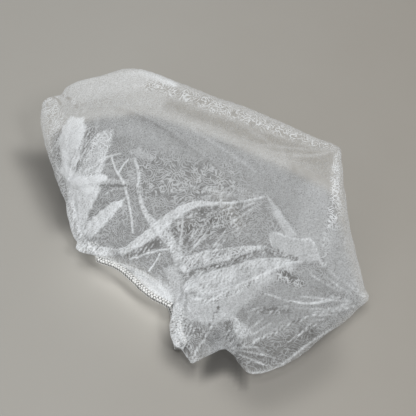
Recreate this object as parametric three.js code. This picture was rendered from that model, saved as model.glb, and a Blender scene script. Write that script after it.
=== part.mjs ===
// A disposable bouffant cap lying on its side, as it was dropped: a light nonwoven pouch, open at
// a gathered hem at the lower left, with a stitched elastic loop round that hem.
// Millimetres, +Z up, floor at z = 0. The viewer stands at -Y, so +X is to the viewer's right.
import * as THREE from 'three';

// Driving sizes
const WALL = 1.0; // the nonwoven, drawn at the thinnest wall that stays a solid
const BAND_WIDTH = 5.4; // stitched elastic edge, measured away from the cloth
const BAND_THICKNESS = 3.0; // stitched elastic edge, measured through the cloth
const SEAT_GAP = 0.3; // clearance between the hem and the elastic edge
const MOUTH_WAY = { x: -0.73, y: -0.68 }; // the floor direction that the mouth faces
const TURN_EASE = 0.8; // more clearance where the hem turns, for each radian of turn at a step
const FOOT_CENTRE = { x: -2.7, y: 10.3 }; // middle of the footprint in the section table's numbers

// How finely the pouch is cut into facets
const TOP_COLUMNS = 56;
const FLOOR_COLUMNS = 28;
const ROWS = 28;
const BAND_SIDES = 8;

// The upper cloth, one row for each line across it, from the hem to the closed far end. The
// stations of a line run from the left side to the right side, and each is [x, y, z].
const SECTIONS = [
  { name: 'hem', left: [-108, -19, 12], left_rise: [-91, -33, 16], left_top: [-65, -49, 20],
    middle: [-40, -71, 19], right_top: [-16, -82, 15], right_rise: [-26, -106, 10], right: [-12, -123, 5] },
  { name: 'gathers', left: [-117, 4, 14], left_rise: [-93, -10, 26], left_top: [-60, -24, 32],
    middle: [-27, -46, 30], right_top: [-3, -70, 28], right_rise: [0, -106, 27], right: [-2, -137, 6] },
  { name: 'notch', left: [-124, 27, 17], left_rise: [-98, 24, 40], left_top: [-52, 5, 44],
    middle: [-14, -28, 37], right_top: [22, -58, 40], right_rise: [25, -98, 22], right: [26, -123, 9] },
  { name: 'lobe', left: [-134, 50, 20], left_rise: [-105, 50, 52], left_top: [-60, 38, 60],
    middle: [-5, 0, 54], right_top: [42, -46, 54], right_rise: [56, -112, 36], right: [44, -155, 6] },
  { name: 'window', left: [-144, 74, 24], left_rise: [-110, 79, 62], left_top: [-68, 67, 75],
    middle: [-2, 22, 66], right_top: [52, -32, 62], right_rise: [84, -98, 45], right: [86, -137, 7] },
  { name: 'edge', left: [-153, 98, 30], left_rise: [-114, 105, 66], left_top: [-72, 94, 84],
    middle: [-6, 46, 82], right_top: [59, -11, 75], right_rise: [107, -69, 60], right: [124, -99, 7] },
  { name: 'plateau', left: [-157, 119, 36], left_rise: [-116, 124, 70], left_top: [-67, 119, 89],
    middle: [-7, 76, 89], right_top: [62, 27, 86], right_rise: [119, -22, 80], right: [153, -71, 5] },
  { name: 'crest', left: [-155, 138, 42], left_rise: [-117, 142, 72], left_top: [-61, 142, 94],
    middle: [2, 101, 95], right_top: [66, 66, 98], right_rise: [124, 28, 98], right: [138, 20, 14] },
  { name: 'back', left: [-142, 142, 30], left_rise: [-108, 158, 46], left_top: [-55, 165, 54],
    middle: [10, 130, 57], right_top: [76, 92, 58], right_rise: [126, 53, 56], right: [136, 47, 22] },
  { name: 'far_end', left: [-128, 148, 14], left_rise: [-101, 163, 14], left_top: [-53, 168, 14],
    middle: [12, 136, 14], right_top: [78, 97, 14], right_rise: [121, 66, 14], right: [129, 59, 14] },
];
const STATIONS = ['left', 'left_rise', 'left_top', 'middle', 'right_top', 'right_rise', 'right'];
const SOFTNESS = 0.24; // how much of a table cell each ridge and valley is rounded over

// The lower cloth lies on the floor under the upper one
const LIP_BOW = { x: 26, y: 24 }; // how far the lower lip bows inward from a straight line
const LIP_REACH = 4 / 9; // share of the way to the far end where the lower cloth is under the upper
const SIDE_TUCK = 20; // floor distance over which a side curls under, from its seam to the floor
const END_TUCK = 0.1; // share of the way at which the far end curls under
const SEAM_COLUMNS = 3; // columns each side of a seam that are rounded together

// Gathers round the hem, drawn in by the elastic
const GATHERS = { count: 12, height: 2.4, fade: 0.26 };

// Long raised folds of the upper cloth: a soft rib from one floor place to another
const FOLDS = [
  { name: 'left_pleat', from: [-90, 84], to: [-114, 30], width: 15, rise: 5 },
  { name: 'hem_pleat', from: [-98, -10], to: [-67, 14], width: 12, rise: 4 },
  { name: 'arc_low', from: [-78, -26], to: [-37, -12], width: 13, rise: 5 },
  { name: 'arc_middle', from: [-37, -12], to: [0, 1], width: 13, rise: 6 },
  { name: 'arc_high', from: [0, 1], to: [59, -11], width: 13, rise: 5 },
  { name: 'cross_high', from: [-56, 36], to: [-37, -12], width: 12, rise: 5 },
  { name: 'cross_low', from: [-37, -12], to: [-16, -45], width: 12, rise: 5 },
  { name: 'front_rib', from: [-16, -45], to: [61, -47], width: 14, rise: 6 },
  { name: 'lower_rib', from: [0, -72], to: [90, -72], width: 16, rise: 7 },
  { name: 'corner_rib', from: [59, -11], to: [86, -44], width: 14, rise: 4 },
];

// Straight blend between two table places, then the plain table surface at u across and v inward
function mix(a, b, t) {
  return [0, 1, 2].map((axis) => a[axis] + (b[axis] - a[axis]) * t);
}

function tablePoint(u, v) {
  const across = THREE.MathUtils.clamp(u, 0, 1) * (STATIONS.length - 1);
  const inward = THREE.MathUtils.clamp(v, 0, 1) * (SECTIONS.length - 1);
  const column = Math.min(Math.floor(across), STATIONS.length - 2);
  const row = Math.min(Math.floor(inward), SECTIONS.length - 2);
  const near = SECTIONS[row];
  const far = SECTIONS[row + 1];
  const [first, second] = [STATIONS[column], STATIONS[column + 1]];
  const share = across - column;
  return mix(mix(near[first], near[second], share), mix(far[first], far[second], share), inward - row);
}

// The table surface with its ridges rounded. The rounding dies out at the edges of the sheet, so
// the hem, the seams and the far end stay where the table puts them.
function roundedPoint(u, v) {
  const reach = 5;
  const half = (reach - 1) / 2;
  const stepU = Math.min(SOFTNESS / (STATIONS.length - 1), u, 1 - u) / half;
  const stepV = Math.min(SOFTNESS / (SECTIONS.length - 1), v, 1 - v) / half;
  const sum = [0, 0, 0];
  for (let i = -half; i <= half; i += 1) {
    for (let j = -half; j <= half; j += 1) {
      const p = tablePoint(u + i * stepU, v + j * stepV);
      sum[0] += p[0];
      sum[1] += p[1];
      sum[2] += p[2];
    }
  }
  return sum.map((value) => value / (reach * reach));
}

// A bump that is 1 in the middle and 0 at distance 1
function bump(distance) {
  return distance < 1 ? 0.5 + 0.5 * Math.cos(Math.PI * distance) : 0;
}

function foldRise(x, y) {
  let rise = 0;
  for (const fold of FOLDS) {
    const along = [fold.to[0] - fold.from[0], fold.to[1] - fold.from[1]];
    const length = Math.hypot(along[0], along[1]);
    const offset = [x - fold.from[0], y - fold.from[1]];
    const share = (offset[0] * along[0] + offset[1] * along[1]) / (length * length);
    const t = THREE.MathUtils.clamp(share, 0, 1);
    const distance = Math.hypot(offset[0] - along[0] * t, offset[1] - along[1] * t);
    rise = Math.max(rise, fold.rise * bump(distance / fold.width));
  }
  return rise;
}

function upperPoint(u, v) {
  const [x, y, z] = roundedPoint(u, v);
  const middle = Math.sin(Math.PI * u);
  const gathers = 0.5 - 0.5 * Math.cos(2 * Math.PI * GATHERS.count * u);
  const lift = GATHERS.height * gathers * Math.max(0, 1 - v / GATHERS.fade) * Math.min(1, 3 * middle);
  const clear = THREE.MathUtils.smoothstep(v, 0, 0.06);
  return new THREE.Vector3(x, y, z + lift + foldRise(x, y) * clear);
}

// The lower lip of the mouth: between the two ends of the hem, bowed inward under the cap
function lipPoint(u) {
  const [x, y] = mix(tablePoint(0, 0), tablePoint(1, 0), u);
  const bow = Math.sin(Math.PI * u);
  return [x + LIP_BOW.x * bow, y + LIP_BOW.y * bow, 0];
}

// Floor place of the lower cloth. Past LIP_REACH it is under the upper cloth. Nearer the mouth it is
// stretched straight from the lip, and its sides follow the seams.
function lowerPlace(u, v) {
  if (v >= LIP_REACH) {
    return roundedPoint(u, v);
  }
  const t = v / LIP_REACH;
  const straight = (across) => mix(lipPoint(across), roundedPoint(across, LIP_REACH), t);
  const place = straight(u);
  const [left, right] = [straight(0), straight(1)];
  const [seamLeft, seamRight] = [roundedPoint(0, v), roundedPoint(1, v)];
  return place.map((value, axis) => value
    + (1 - u) * (seamLeft[axis] - left[axis])
    + u * (seamRight[axis] - right[axis]));
}

// The lower cloth lies flat, and curls up at the sides and at the far end to meet the upper one
function lowerPoint(u, v) {
  const [x, y] = lowerPlace(u, v);
  const [leftX, leftY, leftZ] = roundedPoint(0, v);
  const [rightX, rightY, rightZ] = roundedPoint(1, v);
  const endZ = roundedPoint(u, 1)[2];
  const fromLeft = Math.hypot(x - leftX, y - leftY) / SIDE_TUCK;
  const fromRight = Math.hypot(x - rightX, y - rightY) / SIDE_TUCK;
  const left = leftZ * (1 - THREE.MathUtils.smoothstep(fromLeft, 0, 1));
  const right = rightZ * (1 - THREE.MathUtils.smoothstep(fromRight, 0, 1));
  const end = endZ * (1 - THREE.MathUtils.smoothstep(1 - v, 0, END_TUCK));
  return new THREE.Vector3(x, y, Math.max(left, right, end));
}

// The outer face as rings from the mouth (row 0) to the far end: across the upper cloth from left
// to right, and back along the lower cloth. Seam corners are rounded along each ring.
const RING = TOP_COLUMNS + FLOOR_COLUMNS;

function outerRings() {
  const rings = [];
  for (let row = 0; row <= ROWS; row += 1) {
    const v = row / ROWS;
    const ring = [];
    for (let i = 0; i < TOP_COLUMNS; i += 1) {
      ring.push(upperPoint(i / TOP_COLUMNS, v));
    }
    for (let i = 0; i < FLOOR_COLUMNS; i += 1) {
      ring.push(lowerPoint(1 - i / FLOOR_COLUMNS, v));
    }
    rings.push(row < ROWS ? roundSeams(roundSeams(ring)) : ring);
  }
  return rings;
}

function roundSeams(ring) {
  const rounded = ring.map((point) => point.clone());
  for (const seam of [0, TOP_COLUMNS]) {
    for (let step = -SEAM_COLUMNS; step <= SEAM_COLUMNS; step += 1) {
      const i = (seam + step + RING) % RING;
      const before = ring[(i - 1 + RING) % RING];
      const after = ring[(i + 1) % RING];
      rounded[i].multiplyScalar(2).add(before).add(after).multiplyScalar(0.25);
    }
  }
  return rounded;
}

// Faces of the outer skin as triples of ring places. The far end's upper and lower lines are one
// line, so the last lower ring borrows the upper cloth's points.
function skinFaces() {
  const place = (row, i) => row * RING + (i % RING);
  const faces = [];
  for (let row = 0; row < ROWS; row += 1) {
    const last = row === ROWS - 1;
    for (let i = 0; i < RING; i += 1) {
      if (last && i >= TOP_COLUMNS) {
        const start = 2 * (RING - i);
        const ends = [start, start - 1, start - 2].map((k) => place(ROWS, k));
        faces.push([place(row, i), ends[1], ends[0]]);
        faces.push([place(row, i), place(row, i + 1), ends[1]]);
        faces.push([place(row, i + 1), ends[2], ends[1]]);
      } else {
        faces.push([place(row, i), place(row, i + 1), place(row + 1, i + 1)]);
        faces.push([place(row, i), place(row + 1, i + 1), place(row + 1, i)]);
      }
    }
  }
  return faces;
}

// The corner where the far end's line meets the right seam is the last upper point
function farCorner(rings) {
  const corner = upperPoint(1, 1);
  rings[ROWS][TOP_COLUMNS].copy(corner);
}

function geometryOf(points, faces) {
  const geometry = new THREE.BufferGeometry();
  geometry.setAttribute('position', new THREE.Float32BufferAttribute(points.flatMap((p) => p.toArray()), 3));
  geometry.setIndex(faces.flat());
  geometry.computeVertexNormals();
  return geometry;
}

// Crown: outer skin, inner skin one wall inside it, and the cut edge at the mouth that joins them
function buildCrown(rings) {
  const points = rings.flat();
  const faces = skinFaces();
  const normals = geometryOf(points, faces).getAttribute('normal');
  const inner = points.map((point, i) => {
    const normal = new THREE.Vector3().fromBufferAttribute(normals, i);
    return point.clone().addScaledVector(normal, -WALL);
  });
  const count = points.length;
  const solid = [...faces, ...faces.map(([a, b, c]) => [a + count, c + count, b + count])];
  for (let i = 0; i < RING; i += 1) {
    const next = (i + 1) % RING;
    solid.push([i, count + next, next], [i, count + i, count + next]);
  }
  return { geometry: geometryOf([...points, ...inner], solid), rim: ringMiddles(points, inner), second: rings[1] };
}

function ringMiddles(points, inner) {
  return points.slice(0, RING).map((point, i) => point.clone().add(inner[i]).multiplyScalar(0.5));
}

// Elastic edge: a closed oval tube just outside the crown's cut edge, seated on the floor where
// the lower lip lies
function buildBand(rim, second) {
  const points = [];
  const faces = [];
  for (let i = 0; i < RING; i += 1) {
    const before = rim[(i - 1 + RING) % RING];
    const after = rim[(i + 1) % RING];
    const along = after.clone().sub(before).normalize();
    const slope = rim[i].clone().sub(second[i]).normalize().z;
    const outward = new THREE.Vector3(MOUTH_WAY.x, MOUTH_WAY.y, Math.min(slope, 0));
    outward.addScaledVector(along, -outward.dot(along)).normalize();
    const through = along.clone().cross(outward);
    const turn = rim[i].clone().sub(before).angleTo(after.clone().sub(rim[i]));
    const centre = rim[i].clone().addScaledVector(outward, SEAT_GAP + TURN_EASE * turn + BAND_WIDTH / 2);
    const turns = Array.from({ length: BAND_SIDES }, (_, k) => (2 * Math.PI * k) / BAND_SIDES);
    const section = turns.map((turn) => centre.clone()
      .addScaledVector(outward, (BAND_WIDTH / 2) * Math.cos(turn))
      .addScaledVector(through, (BAND_THICKNESS / 2) * Math.sin(turn)));
    const lowest = Math.min(...section.map((point) => point.z));
    const raise = Math.max(0, -lowest);
    points.push(...section.map((point) => point.setZ(point.z + raise)));
    for (let k = 0; k < BAND_SIDES; k += 1) {
      const a = i * BAND_SIDES + k;
      const b = i * BAND_SIDES + ((k + 1) % BAND_SIDES);
      const c = ((i + 1) % RING) * BAND_SIDES + ((k + 1) % BAND_SIDES);
      const d = ((i + 1) % RING) * BAND_SIDES + k;
      faces.push([a, b, c], [a, c, d]);
    }
  }
  return geometryOf(points, faces);
}

// Assembly
const nonwoven = new THREE.MeshStandardMaterial({ color: 0xe9ecee, roughness: 0.9, metalness: 0, side: THREE.DoubleSide });
const elastic = new THREE.MeshStandardMaterial({ color: 0xf2f2ee, roughness: 0.8, metalness: 0 });

function place(name, geometry, material) {
  const mesh = new THREE.Mesh(geometry, material);
  mesh.name = name;
  mesh.position.set(-FOOT_CENTRE.x, -FOOT_CENTRE.y, 0);
  return mesh;
}

const rings = outerRings();
farCorner(rings);
const crown = buildCrown(rings);
const cap = new THREE.Group();
cap.add(place('crown', crown.geometry, nonwoven));
cap.add(place('elastic_band', buildBand(crown.rim, crown.second), elastic));

export default cap;
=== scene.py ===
# %% [markdown]
# # A disposable bouffant cap, lying where it was dropped
#
# The real cap is one disc of thin white spunbond cloth. Its rim is gathered on elastic by an
# overlock machine, so the middle puffs up into a pouch. This lesson dresses a plain solid of
# that pouch: a fine sheet with its folds, a stitched edge, a see-through fibre finish, and a
# soft studio.

# %% Load the plain solids
import functools
import math

import bpy
import numpy as np
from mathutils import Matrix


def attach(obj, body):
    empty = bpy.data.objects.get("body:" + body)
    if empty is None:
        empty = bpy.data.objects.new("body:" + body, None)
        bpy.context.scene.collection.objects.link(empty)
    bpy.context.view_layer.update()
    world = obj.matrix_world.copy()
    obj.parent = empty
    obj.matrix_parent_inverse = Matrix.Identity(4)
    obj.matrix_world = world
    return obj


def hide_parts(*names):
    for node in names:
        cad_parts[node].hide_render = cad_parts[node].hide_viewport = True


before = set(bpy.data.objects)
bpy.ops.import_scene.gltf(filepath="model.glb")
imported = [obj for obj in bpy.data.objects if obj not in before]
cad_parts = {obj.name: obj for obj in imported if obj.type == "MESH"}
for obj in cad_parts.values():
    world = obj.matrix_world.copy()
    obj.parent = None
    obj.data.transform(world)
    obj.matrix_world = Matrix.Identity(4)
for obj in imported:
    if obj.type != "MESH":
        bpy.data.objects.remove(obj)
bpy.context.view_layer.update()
MM = 0.001

# %% [markdown]
# ## Camera
#
# The cap is seen from 50 degrees above the floor with a long lens, which keeps its shape nearly
# free of perspective. The lens is worked out from how many millimetres one pixel covers at the
# cap. The camera comes first, because the folds are placed by where they show in the picture.

# %% Camera
PICTURE_SIDE = 416
SENSOR_WIDTH = 36.0
CAMERA_RISE = math.radians(50)
CAMERA_AWAY = 950.0
MM_PER_PIXEL = 0.92
LOOK_AT = np.array([12.7, 12.7, 20.0])

view_back = np.array([0.0, -math.cos(CAMERA_RISE), math.sin(CAMERA_RISE)])
view_up = np.array([0.0, math.sin(CAMERA_RISE), math.cos(CAMERA_RISE)])
camera_at = LOOK_AT + view_back * CAMERA_AWAY
focal_pixels = CAMERA_AWAY / MM_PER_PIXEL

camera_data = bpy.data.cameras.new("camera")
camera_data.sensor_width = SENSOR_WIDTH
camera_data.lens = SENSOR_WIDTH * focal_pixels / PICTURE_SIDE
camera = bpy.data.objects.new("camera", camera_data)
camera.location = camera_at * MM
camera.rotation_euler = (math.pi / 2 - CAMERA_RISE, 0.0, 0.0)
bpy.context.scene.collection.objects.link(camera)
bpy.context.scene.camera = camera
print("lens %.1f mm" % camera_data.lens)

# %% [markdown]
# ## The shape of the pouch
#
# The pouch is described as a tailor would: lines across the upper cloth from the hem to the far
# end, each with seven stations from left to right. These are the same lines as the solid's, so
# the fine sheet lies where the solid is.

# %% Section table, in millimetres
STATIONS = ["left", "left_rise", "left_top", "middle", "right_top", "right_rise", "right"]
SECTIONS = {
    "hem": [(-108, -19, 12), (-91, -33, 16), (-65, -49, 20), (-40, -71, 19),
            (-16, -82, 15), (-26, -106, 10), (-12, -123, 5)],
    "gathers": [(-117, 4, 14), (-93, -10, 26), (-60, -24, 32), (-27, -46, 30),
                (-3, -70, 28), (0, -106, 27), (-2, -137, 6)],
    "notch": [(-124, 27, 17), (-98, 24, 40), (-52, 5, 44), (-14, -28, 37),
              (22, -58, 40), (25, -98, 22), (26, -123, 9)],
    "lobe": [(-134, 50, 20), (-105, 50, 52), (-60, 38, 60), (-5, 0, 54),
             (42, -46, 54), (56, -112, 36), (44, -155, 6)],
    "window": [(-144, 74, 24), (-110, 79, 62), (-68, 67, 75), (-2, 22, 66),
               (52, -32, 62), (84, -98, 45), (86, -137, 7)],
    "edge": [(-153, 98, 30), (-114, 105, 66), (-72, 94, 84), (-6, 46, 82),
             (59, -11, 75), (107, -69, 60), (124, -99, 7)],
    "plateau": [(-157, 119, 36), (-116, 124, 70), (-67, 119, 89), (-7, 76, 89),
                (62, 27, 86), (119, -22, 80), (153, -71, 5)],
    "crest": [(-155, 138, 42), (-117, 142, 72), (-61, 142, 94), (2, 101, 95),
              (66, 66, 98), (124, 28, 98), (138, 20, 14)],
    "back": [(-142, 142, 30), (-108, 158, 46), (-55, 165, 54), (10, 130, 57),
             (76, 92, 58), (126, 53, 56), (136, 47, 22)],
    "far_end": [(-128, 148, 14), (-101, 163, 14), (-53, 168, 14), (12, 136, 14),
                (78, 97, 14), (121, 66, 14), (129, 59, 14)],
}
FOOT_CENTRE = np.array([-2.7, 10.3, 0.0])
net = np.array(list(SECTIONS.values()), float) - FOOT_CENTRE
row_of = {name: i / (len(SECTIONS) - 1) for i, name in enumerate(SECTIONS)}
print("lines:", len(SECTIONS), "stations on each:", len(STATIONS))

# %% [markdown]
# Between stations the cloth runs straight, and each ridge is rounded by averaging over a short
# reach. The averaging dies out at the hem and the seams, so they keep their places.

# %% Surface of the upper cloth
SOFTNESS = 0.24  # how far the averaging reaches, as a share of the gap between two stations
TAPS = 2  # samples on each side of a point


def smoothstep(value, low, high):
    t = np.clip((value - low) / (high - low), 0, 1)
    return t * t * (3 - 2 * t)


def table_point(u, v):
    across = np.clip(u, 0, 1) * (net.shape[1] - 1)
    inward = np.clip(v, 0, 1) * (net.shape[0] - 1)
    column = np.minimum(across.astype(int), net.shape[1] - 2)
    row = np.minimum(inward.astype(int), net.shape[0] - 2)
    share = (across - column)[..., None]
    depth = (inward - row)[..., None]
    near = net[row, column] * (1 - share) + net[row, column + 1] * share
    far = net[row + 1, column] * (1 - share) + net[row + 1, column + 1] * share
    return near * (1 - depth) + far * depth


def rounded_point(u, v):
    """Point of the upper cloth, u from left to right and v from the hem to the far end, both 0 to 1."""
    u = np.asarray(u, float)
    v = np.broadcast_to(np.asarray(v, float), u.shape)
    step_u = np.minimum(SOFTNESS / (net.shape[1] - 1), np.minimum(u, 1 - u)) / TAPS
    step_v = np.minimum(SOFTNESS / (net.shape[0] - 1), np.minimum(v, 1 - v)) / TAPS
    steps = range(-TAPS, TAPS + 1)
    taps = [table_point(u + i * step_u, v + j * step_v) for i in steps for j in steps]
    return sum(taps) / len(taps)


print("middle of the crest:", rounded_point(np.array([0.5]), row_of["crest"])[0].round(1))

# %% [markdown]
# The lower cloth lies on the floor under the upper one. Its lip bows inward from one end of the
# mouth to the other, so the mouth stands open. The cloth rises to meet the upper one along both
# side seams and at the far end.

# %% Surface of the lower cloth
LIP_BOW = np.array([26.0, 24.0, 0.0])
LIP_REACH = 4 / 9
SIDE_TUCK = 20.0
END_TUCK = 0.1


def lip_point(u):
    start, end = net[0, 0] * [1, 1, 0], net[0, -1] * [1, 1, 0]
    bow = np.sin(math.pi * u)[..., None]
    return start + (end - start) * u[..., None] + LIP_BOW * bow


def lower_place(u, v):
    """Straight below the upper cloth beyond LIP_REACH, and drawn out to the lip before it."""
    t = np.clip(v / LIP_REACH, 0, 1)[..., None]

    def from_lip(at):
        return lip_point(at) * (1 - t) + rounded_point(at, np.full_like(u, LIP_REACH)) * t

    left, right = (rounded_point(edge, v) - from_lip(edge) for edge in (np.zeros_like(u), np.ones_like(u)))
    share = u[..., None]
    near = from_lip(u) + (1 - share) * left + share * right
    return np.where((v < LIP_REACH)[..., None], near, rounded_point(u, np.maximum(v, LIP_REACH)))


def lower_point(u, v):
    """The lower cloth's point, lifted off the floor only beside the seams and at the far end."""
    place = lower_place(u, v)
    rise = rounded_point(u, np.ones_like(v))[..., 2] * (1 - smoothstep(1 - v, 0, END_TUCK))
    for edge in (np.zeros_like(u), np.ones_like(u)):
        seam = rounded_point(edge, v)
        away = np.hypot(*(place - seam)[..., :2].transpose(2, 0, 1)) / SIDE_TUCK
        rise = np.maximum(rise, seam[..., 2] * (1 - smoothstep(away, 0, 1)))
    place[..., 2] = rise
    return place


print("middle of the lower lip:", lip_point(np.array([0.5]))[0].round(1))

# %% [markdown]
# The fine sheet is one grid. A ring of points runs across the upper cloth and back along the
# lower one, and the rings follow each other from the mouth to the far end. A cloth simulation
# could puff up a flat disc instead, but it wouldn't settle into the solid's own form.

# %% The smooth grid
TOP_COLUMNS = 336
FLOOR_COLUMNS = 96
SEEN_ROWS = 190
HIDDEN_ROWS = 36
SEEN_SHARE = 0.8
ROWS = SEEN_ROWS + HIDDEN_ROWS
RING = TOP_COLUMNS + FLOOR_COLUMNS

rows_v = np.concatenate([np.linspace(0, SEEN_SHARE, SEEN_ROWS, endpoint=False),
                         np.linspace(SEEN_SHARE, 1, HIDDEN_ROWS + 1)])
top_u = np.arange(TOP_COLUMNS) / TOP_COLUMNS
floor_u = 1 - np.arange(FLOOR_COLUMNS) / FLOOR_COLUMNS
grid_u = np.concatenate([top_u, floor_u])[None, :].repeat(ROWS + 1, 0)
grid_v = rows_v[:, None].repeat(RING, 1)
rings = np.empty((ROWS + 1, RING, 3))
rings[:, :TOP_COLUMNS] = rounded_point(grid_u[:, :TOP_COLUMNS], grid_v[:, :TOP_COLUMNS])
rings[:, TOP_COLUMNS:] = lower_point(grid_u[:, TOP_COLUMNS:], grid_v[:, TOP_COLUMNS:])
print("grid:", rings.shape)

# %% [markdown]
# The upper and the lower cloth are one piece on the real cap, so its sides turn over in a soft
# curve and not in a sharp edge. The points beside each side seam are slid towards the middle of
# their neighbours, many times over. The far end, where the cloth is drawn together, stays.

# %% Round the sides
SEAM_PASSES = 60
SEAM_TOP = 18
SEAM_FLOOR = 8
seams = [range(-SEAM_FLOOR, SEAM_TOP), range(TOP_COLUMNS + 1 - SEAM_TOP, TOP_COLUMNS + 1 + SEAM_FLOOR)]
for _ in range(SEAM_PASSES):
    for seam in seams:
        here, before, after = ([(i + step) % RING for i in seam] for step in (0, -1, 1))
        between = rings[:-1, before] + rings[:-1, after]
        rings[:-1, here] = 0.5 * rings[:-1, here] + 0.25 * between
print("lowest %.1f highest %.1f mm" % (rings[..., 2].min(), rings[..., 2].max()))

# %% [markdown]
# ## Folds
#
# Where a cap like this is pleated or creased, the cloth lies two or three deep, and those bands
# look white, while one taut layer is nearly clear. Each fold is a line on the cloth, given by
# where it shows in the picture, so the grid's points are first placed in the picture.

# %% Picture places of the grid's points
CREST_SPARE = 0.02  # how far past the crest the cloth still shows, as a share of the whole


def picture_place(points):
    away = points - camera_at
    depth = -(away @ view_back)
    across = PICTURE_SIDE / 2 + focal_pixels * away[..., 0] / depth
    down = PICTURE_SIDE / 2 - focal_pixels * (away @ view_up) / depth
    return np.stack([across, down], -1)


def grid_normals(rings):
    along = np.gradient(rings, axis=0)
    around = np.roll(rings, -1, 1) - np.roll(rings, 1, 1)
    normal = np.cross(around, along)
    length = np.linalg.norm(normal, axis=-1, keepdims=True)
    return (normal / np.maximum(length, 1e-9)).reshape(-1, 3)


flat_points = rings.reshape(-1, 3)
flat_normals = grid_normals(rings)
flat_u = grid_u.reshape(-1)
flat_v = grid_v.reshape(-1)
is_upper = np.tile(np.arange(RING) < TOP_COLUMNS, ROWS + 1)
shown = is_upper & (flat_v <= row_of["crest"] + CREST_SPARE)
places = picture_place(flat_points)
print("points that show:", int(shown.sum()))

# %% [markdown]
# The folds could be sculpted by hand, but a table can be read and changed. It has one row for
# each patch, band, gap and crease, painted in this order. `line` is in picture
# pixels. `wide` is the width at each of its points, as it shows, in millimetres. `body` is the
# share of the light that the cloth stops there, `swirl` is how strongly the clumps of fibre
# show, `rise` is how far the cloth stands up, and `soft` is how slowly the edge fades, both in
# millimetres.

# %% Patch table
FOLD_COLUMNS = ("line", "wide", "body", "swirl", "rise", "soft")
PATCHES = {
    "plateau": ([(150, 95), (240, 140), (300, 180)], (44, 60, 60), 0.30, 0.0, 0, 14),
    "plateau_right": ([(315, 196), (316, 214), (314, 240)], (24, 36, 34), 0.37, 0.03, 0, 10),
    "far_corner": ([(118, 78), (146, 75), (172, 86)], (10, 15, 9), 0.80, 0.3, 0, 3),
    "crest_clear": ([(170, 104), (240, 130), (322, 160)], (10, 14, 20), 0.05, 0.0, 0, 6),
    "plateau_clear": ([(296, 168), (334, 180)], (12, 16), 0.13, 0.0, 0, 6),
    "corner_line": ([(238, 143), (290, 148), (333, 152)], (2, 2.4, 1.6), 0.20, 0.0, 0.4, 1.2),
    "under_edge": (
        [(84, 110), (112, 109), (142, 118), (166, 134), (200, 160)],
        (3, 9, 11, 9, 4), 0.12, 0.0, 0, 3),
    "facet": ([(108, 116), (170, 146), (240, 192)], (22, 22, 6), 0.34, 0.05, 0, 8),
    "far_left": ([(66, 92), (100, 82), (135, 76), (158, 84)], (20, 26, 18, 10), 0.40, 0.15, 0, 7),
    "far_edge": ([(150, 84), (200, 101), (270, 127), (330, 149)], (9, 12, 10, 5), 0.08, 0.65, 0, 2.5),
    "right_edge": (
        [(336, 160), (337, 200), (332, 235), (326, 262)],
        (8, 11, 12, 8), 0.26, 0.95, 0, 2.5),
    "right_facet": ([(338, 240), (345, 280)], (26, 30), 0.38, 0.25, 0, 8),
    "left_side": ([(52, 125), (60, 170), (70, 215)], (14, 16, 14), 0.25, 0.5, 0, 4),
    "knob": ([(50, 104), (52, 112)], (14, 14), 0.20, 0.7, 1.5, 2),
    "window": ([(150, 175), (185, 185), (225, 180)], (40, 50, 30), 0.16, 0.55, 0, 12),
    "low_window": ([(185, 232), (230, 215)], (26, 24), 0.04, 0.6, 0, 8),
    "left_window": ([(95, 222), (118, 215)], (26, 34), 0.21, 0.4, 0, 6),
    "front": ([(215, 310), (260, 310), (300, 300)], (34, 50, 40), 0.22, 0.12, 0, 12),
    "near_right": ([(300, 292), (335, 300)], (36, 26), 0.27, 0.1, 0, 8),
    "big_lobe": ([(250, 358), (285, 350), (310, 334)], (28, 24, 18), 0.04, 0.3, 0, 5),
    "small_lobe": ([(198, 352), (214, 340)], (16, 20), 0.12, 0.2, 0, 4),
    "front_white": (
        [(180, 297), (205, 302), (235, 294), (262, 281), (285, 268)],
        (14, 30, 28, 20, 6), 0.30, 0.3, 0, 5),
    "lobe_top": ([(208, 352), (236, 341), (268, 330), (300, 318)], (12, 14, 13, 8), 0.26, 0.15, 0, 3),
    "loop_gathers": (
        [(182, 304), (180, 318), (180, 332), (184, 346), (192, 355)],
        (14, 16, 15, 12, 8), 0.24, 0.50, 1.0, 1.6),
    "gathers": ([(134, 276), (152, 288), (170, 298)], (6, 11, 13), 0.66, 0.50, 0, 3),
    "brow": ([(66, 114), (90, 113), (120, 120)], (10, 11, 11), 0.29, 0.15, 0, 3),
}
print("patches:", len(PATCHES))

# %% [markdown]
# The broad pleats are flat shapes, each given by its outline in picture pixels.

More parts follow.
